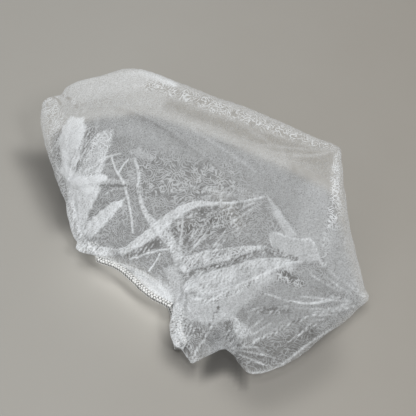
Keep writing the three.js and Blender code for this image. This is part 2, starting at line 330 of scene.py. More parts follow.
# %% Pleat table
PLEAT_COLUMNS = ("outline", "body", "swirl", "rise", "soft")
PLEATS = {
    "left_cheek": (
        [(47, 108), (60, 112), (72, 120), (68, 150), (68, 185), (58, 168), (49, 135)],
        0.27, 0.6, 0.5, 4.0),
    "leaf_left": (
        [(70, 117), (83, 117), (86, 130), (82, 148), (76, 168), (68, 184), (63, 168), (59, 145),
         (63, 128)],
        0.78, 0.7, 1.2, 1.6),
    "leaf_right": (
        [(101, 131), (113, 129), (111, 142), (106, 158), (100, 176), (96, 188), (69, 186), (76, 172),
         (88, 150), (97, 134)],
        0.52, 0.8, 1.2, 1.6),
    "left_patch": (
        [(66, 179), (103, 179), (97, 198), (88, 216), (83, 238), (75, 244), (68, 215)],
        0.66, 0.6, 1.2, 1.4),
    "hem_pleat": (
        [(83, 232), (90, 220), (108, 206), (126, 197), (122, 206), (106, 224), (90, 240)],
        0.68, 0.6, 1.5, 1.0),
    "pale_strip": ([(100, 178), (138, 180), (137, 185), (101, 184)], 0.42, 0.4, 0.5, 1.0),
    "front_pleat": (
        [(178, 302), (188, 281), (210, 272), (240, 266), (275, 258), (303, 262), (284, 276),
         (264, 285), (250, 300), (230, 318), (208, 326), (190, 318)],
        0.47, 0.15, 1.0, 2.6),
    "corner_pleat": ([(265, 193), (276, 206), (298, 236), (287, 237), (273, 214)], 0.50, 0.1, 1.2, 0.7),
    "flap": (
        [(269, 234), (275, 231), (287, 237), (304, 240), (310, 238), (318, 246), (321, 262),
         (302, 262), (288, 257), (274, 248)],
        0.46, 0.05, 1.5, 0.7),
    "lobe_leaf": ([(220, 311), (236, 317), (254, 334), (239, 338), (230, 328)], 0.52, 0.6, 1.0, 1.6),
}
print("pleats:", len(PLEATS))

# %% [markdown]
# The folds and creases are lines again, with the same columns as the patches.

# %% Fold table
FOLDS = {
    "leaf_ridge": ([(108, 134), (97, 155), (84, 172)], (5, 8, 3), 0.48, 0.6, 1.0, 2.2),
    "pleat_gap": ([(93, 128), (84, 152), (70, 180)], (7, 4, 1.5), 0.18, 0.4, -1.0, 1.0),
    "patch_top": ([(72, 184), (103, 178)], (8, 7), 0.80, 0.5, 1.0, 1.2),
    "left_rim": (
        [(70, 205), (76, 232), (83, 246), (92, 252), (106, 254), (120, 254), (130, 251)],
        (6, 7, 8, 8, 7.5, 7, 7), 0.46, 0.5, 2.0, 1.2),
    "soft_fold": ([(132, 146), (134, 168), (136, 186)], (5, 9, 9), 0.30, 0.4, 1.0, 2.5),
    "soft_knot": ([(138, 152), (150, 158)], (7, 6), 0.42, 0.2, 1.0, 2.0),
    "leaf_root": ([(64, 171), (76, 180), (88, 190)], (9, 13, 9), 0.86, 0.5, 1.0, 3),
    "cross": (
        [(135, 160), (140, 176), (138, 192), (143, 210), (153, 224), (165, 236), (176, 250),
         (181, 266)],
        (2, 3.5, 3.5, 4, 8, 9, 10, 12), 0.50, 0.5, 2.0, 0.8),
    "arc": (
        [(120, 255), (140, 243), (154, 232), (166, 221), (181, 210), (197, 204), (212, 204),
         (238, 203), (264, 197)],
        (7, 9, 10, 10, 8, 6, 3.5, 2, 1.5), 0.62, 0.45, 2.5, 0.7),
    "arc_tick": ([(221, 193), (221, 206)], (1.5, 2.5), 0.50, 0.2, 0.8, 0.6),
    "thin_crease": (
        [(112, 158), (115, 169), (123, 181), (128, 198), (131, 214), (133, 234)],
        (1.2, 1.8, 2.6, 2.2, 1.8, 1.2), 0.74, 0.2, 1.2, 0.6),
    "thin_branch": ([(118, 174), (124, 164), (129, 159)], (1.6, 1.4, 1.0), 0.86, 0.2, 0.8, 0.6),
    "thin_arc": (
        [(100, 198), (110, 191), (122, 188), (134, 189)],
        (1.0, 1.4, 1.6, 1.0), 0.42, 0.2, 0.5, 0.6),
    "mouth_gap": ([(122, 260), (140, 252), (158, 243)], (3, 6, 7), 0.03, 0.05, -1.5, 0.8),
    "arc_gap": ([(190, 216), (205, 211), (224, 208)], (5, 3, 1), 0.02, 0.3, -1.0, 1.0),
    "lip_leaf": (
        [(128, 262), (140, 257), (155, 251), (168, 250)],
        (1.2, 1.6, 2.0, 1.6), 0.68, 0.2, 0.8, 0.6),
    "lip_leaf_low": ([(148, 272), (156, 262), (160, 254)], (1.2, 1.4, 1.0), 0.88, 0.2, 0.5, 0.7),
    "mouth_side": ([(170, 272), (181, 290), (190, 314)], (10, 14, 16), 0.48, 0.4, 1.0, 3),
    "front_band": (
        [(186, 266), (206, 258), (224, 255), (246, 250), (266, 247)],
        (14, 14, 12, 8, 2), 0.43, 0.6, 2.5, 0.8),
    "front_gap": (
        [(184, 277), (200, 269), (226, 265), (246, 257), (262, 250), (276, 254)],
        (3, 3, 3, 3.5, 3, 2), 0.16, 0.3, -1.5, 0.8),
    "lower_band": (
        [(192, 290), (206, 284), (224, 278), (244, 270), (262, 263), (280, 261), (300, 263)],
        (16, 18, 17, 13, 9, 6, 2), 0.53, 0.4, 3.0, 0.8),
    "lower_fold": (
        [(204, 303), (222, 297), (242, 288), (262, 275), (280, 268)],
        (7, 9, 8, 6, 3), 0.34, 0.5, 1.0, 1.0),
    "lower_ridge": (
        [(206, 304), (232, 289), (262, 275), (284, 265), (301, 262)],
        (1.4, 2, 2, 2, 1.2), 0.70, 0.2, 0.8, 0.7),
    "flap_shade": ([(274, 251), (296, 259)], (5, 4), 0.15, 0.3, 0, 1.2),
    "flap_top": (
        [(272, 246), (269, 236), (276, 232), (288, 238), (304, 240), (311, 239), (317, 247),
         (320, 261)],
        (1.2, 1.4, 1.6, 1.4, 1.2, 1.6, 2, 1.4), 0.64, 0.1, 1.0, 0.7),
    "shade_patch": ([(283, 276), (300, 284)], (12, 8), 0.06, 0.7, 0, 3),
    "near_leaf": (
        [(290, 301), (306, 304), (320, 302), (338, 296)],
        (1.2, 2.4, 2.2, 1.0), 0.68, 0.1, 1.2, 0.6),
    "near_edge": ([(260, 292), (276, 297), (292, 303)], (1.2, 1.4, 1.2), 0.42, 0.1, 0.6, 0.7),
    "near_gap": ([(256, 311), (272, 311), (288, 311)], (3, 5, 3), 0.04, 0.25, -1.0, 1.2),
    "gap_edge": ([(246, 313), (260, 307), (290, 307)], (1.2, 1.4, 1.2), 0.32, 0.1, 0.6, 0.7),
    "long_fold": (
        [(236, 346), (252, 343), (268, 336), (284, 328), (300, 319)],
        (3, 4, 4, 3, 2), 0.20, 0.2, 1.0, 0.9),
    "crumple_a": (
        [(300, 321), (310, 315), (322, 314), (334, 312)],
        (1.6, 2.0, 2.2, 1.2), 0.50, 0.2, 0.8, 0.7),
    "crumple_b": ([(302, 332), (314, 320), (324, 318)], (1.4, 1.8, 1.4), 0.36, 0.2, 0.6, 0.8),
    "crumple_c": ([(288, 342), (300, 334), (316, 324)], (1.2, 1.6, 1.2), 0.42, 0.2, 0.6, 0.8),
    "lobe_fold": (
        [(188, 364), (193, 356), (204, 340), (212, 322), (218, 308)],
        (2, 3, 4, 4, 3), 0.26, 0.3, 1.0, 1.0),
    "lobe_hem": ([(190, 362), (208, 359), (224, 351)], (2, 2, 2), 0.30, 0.1, 0.6, 0.8),
    "lobe_shade": ([(228, 326), (231, 337)], (11, 8), 0.12, 0.2, 0, 1.8),
    "loop_shade": ([(190, 330), (198, 333)], (10, 9), 0.02, 0.4, 0, 1.8),
    "lobe_rim": (
        [(227, 351), (231, 361), (242, 372), (260, 374), (280, 367), (308, 344), (332, 327)],
        (2, 2, 2, 2, 2, 2, 2), 0.52, 0.2, 0, 1.2),
    "long_edge": (
        [(80, 107), (104, 104), (120, 103), (140, 113), (165, 126), (185, 141), (205, 156), (232, 177),
         (263, 196)],
        (2, 2.4, 2.6, 2.6, 2.6, 2.6, 2.4, 2.2, 2), 0.32, 0.0, 0.8, 1.2),
    "knob_rim": ([(61, 104), (58, 98), (51, 96), (45, 101)], (1.4, 1.8, 1.8, 1.4), 0.02, 0.0, 0.6, 0.8),
    "dark_line": ([(100, 186), (118, 185), (136, 188)], (1.8, 2.4, 1.8), 0.02, 0.3, 0, 0.7),
    "plateau_a": (
        [(205, 138), (240, 149), (310, 157), (337, 152)],
        (2.4, 3, 3, 2.4), 0.24, 0.0, 0.4, 1.6),
    "plateau_b": ([(190, 128), (225, 150), (256, 172)], (2.4, 3, 2.4), 0.40, 0.0, 0.4, 1.6),
    "plateau_c": ([(237, 120), (262, 138), (290, 155)], (2.4, 3, 2.4), 0.16, 0.0, 0.4, 1.6),
    "knob_fold": ([(62, 92), (70, 98), (78, 107)], (2, 2.5, 2), 0.24, 0.1, 0.8, 0.8),
    "right_crease": ([(320, 261), (340, 280), (366, 298)], (1.4, 1.4, 1.4), 0.46, 0.2, 0.6, 0.8),
}
print("folds:", len(FOLDS))

# %% [markdown]
# Three measures turn these tables into cloth: a line with its corners rounded, the distance of
# each point from such a line, and how far inside an outline each point lies. All are taken in
# the picture, where the folds were seen, and given in millimetres.

# %% Lines and outlines in the picture
def smooth_line(points, wide):
    """The line and its widths, with its corners rounded by cutting them twice."""
    line = np.column_stack([np.array(points, float), np.array(wide, float)])
    for _ in range(2):
        if len(line) > 2:
            near, far = 0.75 * line[:-1] + 0.25 * line[1:], 0.25 * line[:-1] + 0.75 * line[1:]
            cut = np.stack([near, far], 1).reshape(-1, 3)
            line = np.vstack([line[:1], cut[1:-1], line[-1:]])
    return line


def beside_line(spots, line):
    """For each picture place, its distance from the line in millimetres, and the line's width there."""
    best = np.full(len(spots), 1e9)
    wide = np.zeros(len(spots))
    for start, end in zip(line[:-1], line[1:]):
        way = end[:2] - start[:2]
        t = np.clip((spots - start[:2]) @ way / (way @ way), 0, 1)
        gap = np.linalg.norm(spots - start[:2] - np.outer(t, way), axis=1) * MM_PER_PIXEL
        nearer = gap < best
        best[nearer] = gap[nearer]
        wide[nearer] = start[2] + t[nearer] * (end[2] - start[2])
    return best, wide


def inside_outline(spots, outline):
    """How far inside the outline each picture place is, in millimetres, and less than 0 outside."""
    corners = np.array(outline, float)
    nearest = np.full(len(spots), 1e9)
    inside = np.zeros(len(spots), bool)
    for start, end in zip(corners, np.roll(corners, -1, 0)):
        way = end - start
        t = np.clip((spots - start) @ way / (way @ way), 0, 1)
        nearest = np.minimum(nearest, np.linalg.norm(spots - start - np.outer(t, way), axis=1))
        crosses = (start[1] > spots[:, 1]) != (end[1] > spots[:, 1])
        rise = way[1] if way[1] else 1e-9
        inside ^= crosses & (spots[:, 0] < start[0] + (spots[:, 1] - start[1]) * way[0] / rise)
    return np.where(inside, nearest, -nearest) * MM_PER_PIXEL


print("corners of the rounded arc:", len(smooth_line(*FOLDS["arc"][:2])))

# %% [markdown]
# Web like this is never even. Sums of plane waves of about one length, in random directions,
# give every unevenness on the cap: torn edges, streaks, gathers and crumple. The random numbers
# start from a fixed seed, so each run makes the same cap.

# %% Waves and first tones
RAGGED = ((0.4, 9, 7), (0.35, 3.5, 7))  # strength, length in millimetres, number of waves
STREAKS = ((0.3, 13, 7), (0.6, 2.8, 9))
WAVE_SPREAD = (0.75, 1.3)  # each wave's own length, as a share of the one asked for
BODY = dict(seen=0.21, hidden=0.07, lower=0.05)
SWIRL = dict(upper=0.3, lower=0.1)
rng = np.random.default_rng(7)


def waves(points, length, count):
    """Sum of plane waves of about one length in random directions, from -1 to 1 or so."""
    total = np.zeros(len(points))
    for _ in range(count):
        way = rng.normal(size=3)
        way /= np.linalg.norm(way)
        turn = rng.uniform(0, 2 * math.pi)
        total += np.sin(points @ way * (2 * math.pi / (length * rng.uniform(*WAVE_SPREAD))) + turn)
    return total / math.sqrt(count)


def mixed_waves(parts):
    return sum(strength * waves(flat_points, length, count) for strength, length, count in parts)


body = np.where(is_upper, np.where(shown, BODY["seen"], BODY["hidden"]), BODY["lower"])
swirl = np.where(is_upper, SWIRL["upper"], SWIRL["lower"])
height = np.zeros(len(flat_points))
ragged = mixed_waves(RAGGED)
streaks = mixed_waves(STREAKS)
print("ragged %.2f streaks %.2f on average" % (np.abs(ragged).mean(), np.abs(streaks).mean()))

# %% [markdown]
# Each row fades its own values in over what lies below. A band also stands up from the cloth,
# steeply at its edges and flat across its middle, as a pressed pleat does. A crisp one is torn
# and mottled, and a little whiter along its edge, where the cloth turns back on itself.

# %% Paint lines
LINE_SPARE = 3.0
RAGGED_FROM = 11.0  # width from which an edge is fully torn
CRISP_SOFT = 2.0  # a row that fades faster than this is crisp
MOTTLE = dict(crisp=0.6, soft=0.06)
RIM = dict(glow=0.2, inset=0.8, width=0.7, wide_from=4.0)
STAND = 0.6
LINE_TOP = 0.35  # share of the width on each side of the middle that is flat
LINE_FOOT = (0.6, 0.8)  # share of the width, and millimetres, where it meets the cloth


def paint(fold):
    """Fades one row's values in over what lies below it."""
    line = smooth_line(fold["line"], fold["wide"])
    reach = (max(fold["wide"]) / 2 + 2 * fold["soft"] + LINE_SPARE) / MM_PER_PIXEL
    low, high = line[:, :2].min(0) - reach, line[:, :2].max(0) + reach
    near = shown & np.all((places > low) & (places < high), axis=1)
    distance, wide = beside_line(places[near], line)
    distance = distance + ragged[near] * np.minimum(1, wide / RAGGED_FROM)
    mask = 1 - smoothstep(distance, wide / 2 - fold["soft"], wide / 2 + fold["soft"])
    crisp = fold["soft"] < CRISP_SOFT and fold["swirl"] > 0
    mottle = MOTTLE["crisp" if crisp else "soft"] * np.clip(streaks[near], -1, 1)
    target = 1 - (1 - fold["body"]) * (1 + mottle)
    if crisp:
        rim = np.exp(-((distance - wide / 2 + RIM["inset"]) / RIM["width"]) ** 2)
        target += RIM["glow"] * (1 - target) * rim * (wide > RIM["wide_from"])
    body[near] += (target - body[near]) * mask
    swirl[near] += (fold["swirl"] - swirl[near]) * mask
    foot = LINE_FOOT[0] * wide + LINE_FOOT[1]
    height[near] += STAND * fold["rise"] * (1 - smoothstep(distance, LINE_TOP * wide, foot))


for row in PATCHES.values():
    paint(dict(zip(FOLD_COLUMNS, row)))
print("body after the patches: %.2f to %.2f" % (body.min(), body.max()))

# %% [markdown]
# A broad pleat is painted the same way, but from its outline inward. The more fibre clumps it
# shows, the more its edge is torn and its face mottled.

# %% Paint pleats
PLEAT_SPARE = 8.0  # picture pixels
TORN = (0.4, 1.3)  # for smooth cloth, and added for full swirls
PLEAT_MOTTLE = (0.1, 0.5)
PLEAT_STEP = (-1.0, 2.5)


def paint_pleat(pleat):
    """Fades one flat pleat in: mottled, with a torn edge, and standing up from the cloth."""
    spots = np.array(pleat["outline"], float)
    low, high = spots.min(0) - PLEAT_SPARE, spots.max(0) + PLEAT_SPARE
    near = shown & np.all((places > low) & (places < high), axis=1)
    torn = TORN[0] + TORN[1] * pleat["swirl"]
    depth = inside_outline(places[near], pleat["outline"]) + torn * ragged[near]
    mask = smoothstep(depth, -pleat["soft"], pleat["soft"])
    mottle = PLEAT_MOTTLE[0] + PLEAT_MOTTLE[1] * pleat["swirl"]
    target = 1 - (1 - pleat["body"]) * (1 + mottle * np.clip(streaks[near], -1, 1))
    body[near] += (target - body[near]) * mask
    swirl[near] += (pleat["swirl"] - swirl[near]) * mask
    height[near] += STAND * pleat["rise"] * smoothstep(depth, *PLEAT_STEP)


for row in PLEATS.values():
    paint_pleat(dict(zip(PLEAT_COLUMNS, row)))
print("body after the pleats: %.2f to %.2f" % (body.min(), body.max()))

# %% [markdown]
# Where the cloth is pulled from one point, fine creases fan out from it. Each row is a fan:
# where it starts, between which two directions it opens (in degrees, from right towards the
# top), how many creases it has, how long they are in picture pixels, and how white.

# %% Fans of fine creases
FAN_COLUMNS = ("start", "turn", "count", "length", "body")
FANS = [
    ((264, 197), (166, 236), 15, (45, 118), 0.36),
    ((300, 262), (172, 208), 8, (40, 95), 0.52),
    ((366, 298), (140, 205), 9, (30, 75), 0.48),
    ((178, 262), (35, 120), 11, (30, 72), 0.46),
    ((70, 184), (20, 82), 7, (30, 60), 0.70),
    ((180, 300), (-4, 62), 9, (25, 70), 0.72),
    ((226, 350), (-30, 60), 7, (25, 60), 0.50),
]
TURN_SHARE = (0.2, 0.8)  # where in its share of the fan a crease may lie
FAN_BEND = (-0.10, 0.10)
FAN_START = (0.05, 0.3)
FAN_WIDE = (0.5, 1.4, 1.7, 1.3, 0.4)
FAN_STRENGTH = (0.7, 1.25)
FAN_FINISH = dict(wide=FAN_WIDE, swirl=0.25, rise=0.5, soft=0.9)


def fan_crease(fan, k):
    """The fan's crease number k, a little bent, as a row to paint."""
    spread = fan["turn"][1] - fan["turn"][0]
    turn = math.radians(fan["turn"][0] + spread * (k + rng.uniform(*TURN_SHARE)) / fan["count"])
    length = rng.uniform(*fan["length"])
    bend = rng.uniform(*FAN_BEND)
    steps = np.linspace(rng.uniform(*FAN_START), 1, len(FAN_WIDE))
    way = np.array([math.cos(turn), -math.sin(turn)])
    aside = np.array([way[1], -way[0]])
    line = [np.array(fan["start"]) + length * (t * way + bend * t * (1 - t) * 4 * aside) for t in steps]
    return dict(FAN_FINISH, line=line, body=rng.uniform(*FAN_STRENGTH) * fan["body"])


for fan in (dict(zip(FAN_COLUMNS, row)) for row in FANS):
    for k in range(fan["count"]):
        paint(fan_crease(fan, k))
print("creases in fans:", sum(row[2] for row in FANS))

# %% [markdown]
# The named folds go on last, over the fans, because they are the ones that the eye finds first.
# What all the rows have raised is then moved out along the cloth's normals. It dies out at the
# hem, which the elastic holds.

# %% Lay the folds over the fans
HEM_HELD = 0.05
for row in FOLDS.values():
    paint(dict(zip(FOLD_COLUMNS, row)))
hem_fade = smoothstep(flat_v, 0.0, HEM_HELD)
shift = flat_normals * (height * hem_fade)[:, None]
print("highest fold: %.1f mm" % height.max())

# %% [markdown]
# A few corners are drawn out to a point, as they stand in the picture. `pull` is how far, to
# the right and up as seen, and `reach` how much of the cloth follows, all in millimetres.

# %% Corners
LIP_HELD = 0.2  # the lower cloth's share, from its lip on, that follows no corner
CORNERS = {
    "right_tip": dict(at=(361, 299), pull=(6.0, 0.5), reach=9),
    "top_corner": dict(at=(334, 154), pull=(3.5, 3.0), reach=11),
    "knob": dict(at=(46, 110), pull=(-1.0, 0.0), reach=8),
    "knob_notch": dict(at=(61, 93), pull=(1.5, -3.0), reach=6),
    "right_side": dict(at=(352, 240), pull=(-1.8, 0.0), reach=30),
    "near_right": dict(at=(348, 316), pull=(3.5, -3.0), reach=20),
    "top_arc": dict(at=(112, 70), pull=(0.0, -3.2), reach=36),
    "lobe_tip": dict(at=(190, 360), pull=(0.5, -3.0), reach=8),
}
for corner in CORNERS.values():
    gap = np.hypot(*(places - corner["at"]).T) * MM_PER_PIXEL
    follow = np.exp(-(gap / corner["reach"]) ** 2) * (is_upper | (flat_v > LIP_HELD))
    shift[:, 0] += follow * corner["pull"][0]
    shift += np.outer(follow * corner["pull"][1], view_up)
print("corners:", len(CORNERS))

# %% [markdown]
# The elastic draws the hem into small gathers, which run inward and die out. Broader folds, one
# for every three gathers, run on further.

# %% Gathers along the hem
GATHER_COUNT = 46
GATHER_RISE = 1.5
GATHER_RUN = 0.055
BROAD_EVERY = 3
BROAD_RISE = 3.0
BROAD_RUN = 0.12
BROAD_FROM = 0.06
SIDE_HELD = 0.2
WOBBLE = ((1.1, 26, 6), (0.35, 9, 6))
UNEVEN = (16, 6)  # length and number of the waves that make some gathers run on and others not
wobble = mixed_waves(WOBBLE)
uneven = 0.5 + 0.5 * np.clip(waves(flat_points, *UNEVEN), -1, 1)
gather_phase = 2 * math.pi * (GATHER_COUNT * flat_u + wobble)
gather = (0.5 - 0.5 * np.cos(gather_phase)) * np.exp(-flat_v / GATHER_RUN) * GATHER_RISE
broad = (0.5 - 0.5 * np.cos(gather_phase / BROAD_EVERY)) * np.exp(-flat_v / BROAD_RUN) * BROAD_RISE
broad *= smoothstep(flat_v, 0.0, BROAD_FROM)
side_fade = smoothstep(np.sin(math.pi * flat_u), 0.0, SIDE_HELD)
shift[:, 2] += np.where(is_upper, (gather + broad) * side_fade * hem_fade, 0)
print("highest gather: %.1f mm" % (gather + broad).max())

# %% [markdown]
# Away from the hem the cloth is never quite flat either. Ridged waves of two lengths stand for
# the crumple that it keeps from being packed. The lower cloth only lifts off the floor a little.

# %% Crumple
CRUMPLE_LENGTHS = (42, 15)
CRUMPLE_LIFTS = (0.7, 0.35)
CRUMPLE_COUNT = 5
CRUMPLE_MEAN = 0.6
CRUMPLE_FROM = (0.02, 0.12)
LOWER_LIFT = (0.3, 0.5)  # everywhere, and added on a full ridge
ridges = [np.abs(waves(flat_points, length, CRUMPLE_COUNT)) for length in CRUMPLE_LENGTHS]
lift = sum((ridge - CRUMPLE_MEAN) * most for ridge, most in zip(ridges, CRUMPLE_LIFTS))
shift += flat_normals * (lift * smoothstep(flat_v, *CRUMPLE_FROM) * is_upper)[:, None]
shift[:, 2] += np.where(is_upper, 0, LOWER_LIFT[0] + LOWER_LIFT[1] * np.clip(ridges[1], 0, 1))
print("crumple %.1f to %.1f mm" % (lift.min(), lift.max()))

# %% [markdown]
# Seen closely, the hem isn't one smooth line. At the left corner and along the near end the
# upper cloth rolls out over the elastic and hides it. Elsewhere the elastic draws the cloth in.
# The tables give how far it rolls out and how far each lip is drawn in, in millimetres, by the
# share of the way along the hem from left to right.

# %% The hem's line
MOUTH_WAY = np.array([-0.73, -0.68, 0.0])
ROLLED = ((0.0, 0.05, 0.22, 0.27), (0.62, 0.69, 0.92, 0.98))  # starts, full, full to, ends
ROLL_AT = 0.02
ROLL_RISE = 2.5
ROLL_OUT = {0.0: 8.0, 0.10: 9.0, 0.18: 8.0, 0.27: 4.5, 0.62: 4.5, 0.70: 9.5}
DRAWN_UPPER = {0.0: 5.0, 0.08: 4.0, 0.18: 7.0, 0.26: 6.5, 0.34: 4.5, 0.42: 2.5, 0.52: 0.5, 0.64: 0.0,
               0.72: 5.0, 0.84: 8.0, 0.92: 6.0, 1.0: 0.0}
DRAWN_LOWER = {0.0: 8.0, 0.10: 8.0, 0.20: 0.0}
DRAWN_REACH = 0.05
FLOOR_GAP = 0.15


def along_hem(values):
    return np.interp(flat_u, list(values), list(values.values()))


rolled = is_upper * sum(smoothstep(flat_u, a, b) * (1 - smoothstep(flat_u, c, d)) for a, b, c, d in ROLLED)
over_edge = rolled * np.exp(-((flat_v - ROLL_AT) / ROLL_AT) ** 2)
drawn = np.where(is_upper, along_hem(DRAWN_UPPER), along_hem(DRAWN_LOWER))
outward_move = over_edge * along_hem(ROLL_OUT) - drawn * np.exp(-(flat_v / DRAWN_REACH) ** 2)
shift += np.outer(outward_move, MOUTH_WAY)
shift[:, 2] += over_edge * ROLL_RISE
sheet_points = flat_points + shift
sheet_points[:, 2] = np.maximum(sheet_points[:, 2], FLOOR_GAP)
print("sheet box", sheet_points.min(0).round(1), sheet_points.max(0).round(1))

# %% [markdown]
# Where the cloth is gathered it lies many times deep, so a gathered hem is white. The same
# waves that raise the gathers whiten them here. The table gives how much of it shows.

# %% White gathers
GATHER_BODY = (0.80, 0.17)  # on average, and how far it varies
WHITE_RUN = (0.02, 0.05)  # at least, and how much further the longest run
WHITE_SHOWN = {0.0: 0.6, 0.20: 0.3, 0.38: 0.4, 0.48: 1.0, 0.60: 1.0, 0.68: 0.2}
BODY_LIMITS = (0.02, 0.97)
gathered = GATHER_BODY[0] + GATHER_BODY[1] * np.cos(gather_phase)
gathered *= np.exp(-(flat_v / (WHITE_RUN[0] + WHITE_RUN[1] * uneven)) ** 2) * along_hem(WHITE_SHOWN)
body = np.clip(np.where(is_upper, np.maximum(body, gathered), body), *BODY_LIMITS)
print("body %.2f on average" % body[shown].mean())

# %% [markdown]
# The grid becomes one mesh, with a four-sided face between each pair of points and the next
# ring. At the far end the two cloths meet, so the last ring's lower points take the places of
# its upper ones. The painted values go with the points, as attributes that the finish reads.

# %% Make the crown's mesh
def mesh_object(name, points, faces, smooth=True):
    mesh = bpy.data.meshes.new(name)
    mesh.from_pydata((np.asarray(points) * MM).tolist(), [], faces)
    mesh.validate()
    mesh.update()
    if smooth:
        mesh.shade_smooth()
    thing = bpy.data.objects.new(name, mesh)
    bpy.context.scene.collection.objects.link(thing)
    return thing


def ring_faces(count, sides, closed, base=0):
    """Faces from each ring of points to the next, and from the last ring to the first if closed."""
    faces = []
    for i in range(count if closed else count - 1):
        step = ((i + 1) % count - i) * sides
        for k in range(sides):
            a, b = base + i * sides + k, base + i * sides + (k + 1) % sides
            faces.append((a, b, b + step, a + step))
    return faces


end_row = sheet_points[ROWS * RING:]
for i in range(FLOOR_COLUMNS):
    above = int(round((1 - i / FLOOR_COLUMNS) * TOP_COLUMNS))
    end_row[TOP_COLUMNS + i] = end_row[min(above, TOP_COLUMNS - 1)]
crown = mesh_object("crown_sheet", sheet_points, ring_faces(ROWS + 1, RING, closed=False))
for name, values in (("body", body), ("swirl", swirl)):
    store = crown.data.attributes.new(name, "FLOAT", "POINT")
    store.data.foreach_set("value", values.astype(np.float32))
print("crown triangles:", 2 * len(crown.data.polygons))

# %% [markdown]
# ## Elastic edge
#
# On the real cap the edge is rolled over the elastic and wrapped in overlock stitches. All of
# that follows the hem, so its line comes first: points at even steps round it, and at each one
# the directions along it, outward and through the cloth.

# %% Line of the hem
HEM_SMOOTHING = 9.0
EDGE_TILT = 0.3
TILT_HEIGHTS = (4, 12)
hem = np.vstack([sheet_points[:RING], sheet_points[:1]])
hem_lengths = np.concatenate([[0], np.cumsum(np.linalg.norm(np.diff(hem, axis=0), axis=1))])
hem_u = np.concatenate([top_u, np.full(FLOOR_COLUMNS + 1, 1.0)])


def hem_frames(spacing):
    count = int(round(hem_lengths[-1] / spacing))
    wanted = np.arange(count) * hem_lengths[-1] / count
    centre = np.stack([np.interp(wanted, hem_lengths, hem[:, k]) for k in range(3)], -1)
    for _ in range(int(round(HEM_SMOOTHING / spacing))):
        centre = 0.5 * centre + 0.25 * (np.roll(centre, 1, 0) + np.roll(centre, -1, 0))
    along = np.roll(centre, -1, 0) - np.roll(centre, 1, 0)
    along /= np.linalg.norm(along, axis=1, keepdims=True)
    outward = MOUTH_WAY + np.zeros_like(centre)
    outward[:, 2] = -EDGE_TILT * smoothstep(centre[:, 2], *TILT_HEIGHTS)
    outward -= along * np.einsum("ij,ij->i", outward, along)[:, None]
    outward /= np.linalg.norm(outward, axis=1, keepdims=True)
    return centre, along, outward, np.cross(along, outward)


print("hem length %.0f mm" % hem_lengths[-1])

# %% [markdown]
# Towards the mouth's right end the gathers are bunched, so the edge is a little wider there. At
# the left corner and along the near end it is tucked inward and down, under the cloth that
# rolls over it.

# %% Shape of the edge
BAND_WIDTH = 5.4
BAND_THICKNESS = 3.0
SEAT_GAP = 0.3
BUNCHED = dict(start=0.52, end=0.98, fade=0.06, wider=1.15, inward=0.8)
TUCKED_LEFT = (-92.0, -82.0)  # tucked left of the first x, free right of the second
TUCKED_NEAR = (0.63, 0.69)  # free before this share of the upper lip, tucked after it
UPPER_END = 0.999
TUCK = dict(inward=9.0, down=2.5)
EDGE_CLEARANCE = 0.1
BUNCHED_WIDTH = BAND_WIDTH * BUNCHED["wider"]


def edge_shape(spacing):
    """Middle line, directions and half widths of the rolled edge at even steps round the hem."""
    centre, along, outward, through = hem_frames(spacing)
    share = np.interp(np.arange(len(centre)) / len(centre), hem_lengths / hem_lengths[-1], hem_u)
    bunched = smoothstep(share, BUNCHED["start"], BUNCHED["start"] + BUNCHED["fade"])
    bunched *= 1 - smoothstep(share, BUNCHED["end"] - BUNCHED["fade"], BUNCHED["end"])
    half_out = (BAND_WIDTH + (BUNCHED_WIDTH - BAND_WIDTH) * bunched) / 2
    tucked = np.maximum(1 - smoothstep(centre[:, 0], *TUCKED_LEFT),
                        smoothstep(share, *TUCKED_NEAR) * (share < UPPER_END))
    aside = SEAT_GAP + BAND_WIDTH / 2 - BUNCHED["inward"] * (half_out - BAND_WIDTH / 2)
    middle = centre + outward * (aside - TUCK["inward"] * tucked)[:, None]
    lowest = BAND_THICKNESS / 2 + EDGE_CLEARANCE
    middle[:, 2] = np.maximum(middle[:, 2] - TUCK["down"] * tucked, lowest)
    return middle, along, outward, through, half_out


print("edge width %.1f mm, bunched %.1f mm" % (BAND_WIDTH, BUNCHED_WIDTH))

# %% [markdown]
# The roll itself is a tube with an oval section. The cloth inside it is gathered unevenly, so
# the tube swells and shrinks a little on its way round.

# %% Rolled edge
ROLL_SPACING = 0.8
ROLL_SIDES = 12
ROLL_SHARE = dict(out=0.86, through=0.8)
LUMPS = 0.09
LUMP_WAVES = (7, 6)
middle, along, outward, through, half_out = edge_shape(ROLL_SPACING)
lumps = (1 + LUMPS * waves(middle, *LUMP_WAVES))[:, None]
turns = np.arange(ROLL_SIDES) * 2 * math.pi / ROLL_SIDES
out_by = half_out[:, None] * ROLL_SHARE["out"] * lumps * np.cos(turns)
through_by = BAND_THICKNESS / 2 * ROLL_SHARE["through"] * lumps * np.sin(turns)
points = middle[:, None] + outward[:, None] * out_by[..., None] + through[:, None] * through_by[..., None]
faces = [(a, d, c, b) for a, b, c, d in ring_faces(len(middle), ROLL_SIDES, closed=True)]
band = mesh_object("elastic_edge", points.reshape(-1, 3), faces)
print("roll triangles:", 2 * len(faces))

# %% [markdown]
# Each overlock stitch goes round the roll as a loop of thread that leans along it. One loop could
# be repeated along a curve, but then all would be alike, so each is made with its own lean and
# size. They are coarser than a machine's stitches, so that they still show in the picture.

# %% Stitch loops
STITCH_SPACING = 2.8
THREAD = 0.2
THREAD_SIDES = 5
LOOP_STEPS = 16
LOOP_SLANT = (0.3, 0.6)
LOOP_SIZE = (0.92, 1.08)
LOOP_GAP = 0.1


